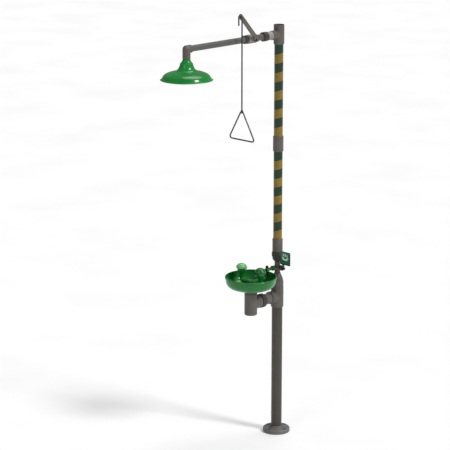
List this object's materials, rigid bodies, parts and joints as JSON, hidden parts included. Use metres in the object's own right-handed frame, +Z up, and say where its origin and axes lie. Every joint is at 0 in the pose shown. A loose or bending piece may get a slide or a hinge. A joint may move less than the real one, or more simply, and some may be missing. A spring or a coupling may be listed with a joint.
{
  "type": "emergency safety shower",
  "caption": "Pedestal drench shower with a pull handle, bell shower head, and a push-flag eyewash bowl with flip-top spray heads on a drained plastic pipe column.",
  "frame": {"origin": "centre of the floor flange's underside, on the column's axis", "axes": "+Z up the column; the shower arm and the bowl point to -Y, where the user stands; +X is the user's right, the side of the pull lever and the push flag"},
  "size_m": [0.288, 0.9202, 2.4367],
  "materials": {
    "pvc_grey": "satin moulded grey PVC",
    "pvc_light": "pale grey moulded plastic",
    "pvc_dark": "dark grey moulded plastic",
    "green_plastic": "glossy safety green",
    "cover_green": "glossy lighter green",
    "tape_green": "satin vinyl tape, dark green",
    "tape_yellow": "satin vinyl tape, deep yellow",
    "stainless": "brushed stainless steel",
    "black_plastic": "black moulded plastic",
    "flag_green": null,
    "seat_white": "white sealing plastic",
    "rubber": "black rubber"
  },
  "bodies": {
    "frame": {"arm_adapter": "pvc_light", "arm_elbow": "pvc_grey", "arm_lock_ring": "pvc_dark", "arm_nipple": "pvc_grey", "arm_pipe": "pvc_grey", "bowl": "green_plastic", "column_cap": "pvc_grey", "column_tee": "pvc_grey", "cover_hinge_pins": "stainless", "deflector_screws": "stainless", "drain_adapter": "pvc_grey", "drain_gasket": "rubber", "drain_strainer": "green_plastic", "drain_tee": "pvc_grey", "eyewash_packing_nut": "pvc_grey", "eyewash_valve_body": "pvc_grey", "eyewash_valve_seats": "seat_white", "floor_flange": "pvc_grey", "flow_stop": "green_plastic", "green_bands": "tape_green", "head_deflector": "green_plastic", "head_flow_control": "black_plastic", "head_nipple": "pvc_grey", "lower_coupling": "pvc_grey", "lower_pipe": "pvc_grey", "lower_riser": "pvc_grey", "middle_coupling": "pvc_grey", "riser_bushing": "pvc_grey", "shower_head": "green_plastic", "shower_packing_nut": "pvc_dark", "shower_valve_body": "pvc_light", "shower_valve_end": "pvc_dark", "shower_valve_seats": "seat_white", "spray_heads": "green_plastic", "spray_yoke": "green_plastic", "supply_nut": "green_plastic", "supply_pipe": "pvc_grey", "top_tee": "pvc_grey", "union_end": "pvc_grey", "union_nut": "pvc_grey", "union_seal": "rubber", "upper_riser": "pvc_grey", "waste_nipple": "pvc_grey", "waste_union_nut": "pvc_grey", "yellow_bands": "tape_yellow"},
    "shower_lever": {"shower_valve_ball": "black_plastic", "shower_valve_stem": "stainless", "pull_lever": "stainless", "lever_nut": "stainless"},
    "pull_rod": {"pull_rod": "stainless"},
    "pull_handle": {"pull_handle": "stainless"},
    "eyewash_flag": {"eyewash_valve_ball": "black_plastic", "eyewash_valve_stem": "stainless", "flag_arm": "stainless", "push_flag": "flag_green", "flag_screws": "stainless", "flag_stem_nut": "stainless"},
    "left_cover": {"left_dust_cover": "cover_green"},
    "right_cover": {"right_dust_cover": "cover_green"},
    "flow_knob": {"flow_knob": "black_plastic"}
  },
  "joints": [
    {"name": "shower_valve_turn", "type": "hinge", "parent": "frame", "child": "shower_lever", "pos_m": [0.04, -0.214, 2.286], "axis": [1, 0, 0], "range_deg": [0, 90]},
    {"name": "rod_hang", "type": "hinge", "parent": "shower_lever", "child": "pull_rod", "pos_m": [0.04, -0.34149, 2.42416], "axis": [1, 0, 0], "range_deg": [-90, 0]},
    {"name": "handle_swing", "type": "hinge", "parent": "pull_rod", "child": "pull_handle", "pos_m": [0.05, -0.34149, 1.91228], "axis": [1, 0, 0], "range_deg": [-35, 35]},
    {"name": "flag_push", "type": "hinge", "parent": "frame", "child": "eyewash_flag", "pos_m": [0.047, 0, 0.972], "axis": [-1, 0, 0], "range_deg": [0, 90]},
    {"name": "left_cover_flip", "type": "hinge", "parent": "frame", "child": "left_cover", "pos_m": [-0.072, -0.181, 0.987], "axis": [-1, 0, 0], "range_deg": [0, 110]},
    {"name": "right_cover_flip", "type": "hinge", "parent": "frame", "child": "right_cover", "pos_m": [0.072, -0.181, 0.987], "axis": [-1, 0, 0], "range_deg": [0, 110]},
    {"name": "flow_trim", "type": "hinge", "parent": "frame", "child": "flow_knob", "pos_m": [0, -0.085, 0.99], "axis": [0, 0, 1], "range_deg": [0, 270]}
  ],
  "couplings": [
    {"joint": "rod_hang", "follows": "shower_valve_turn", "ratio": -1}
  ]
}
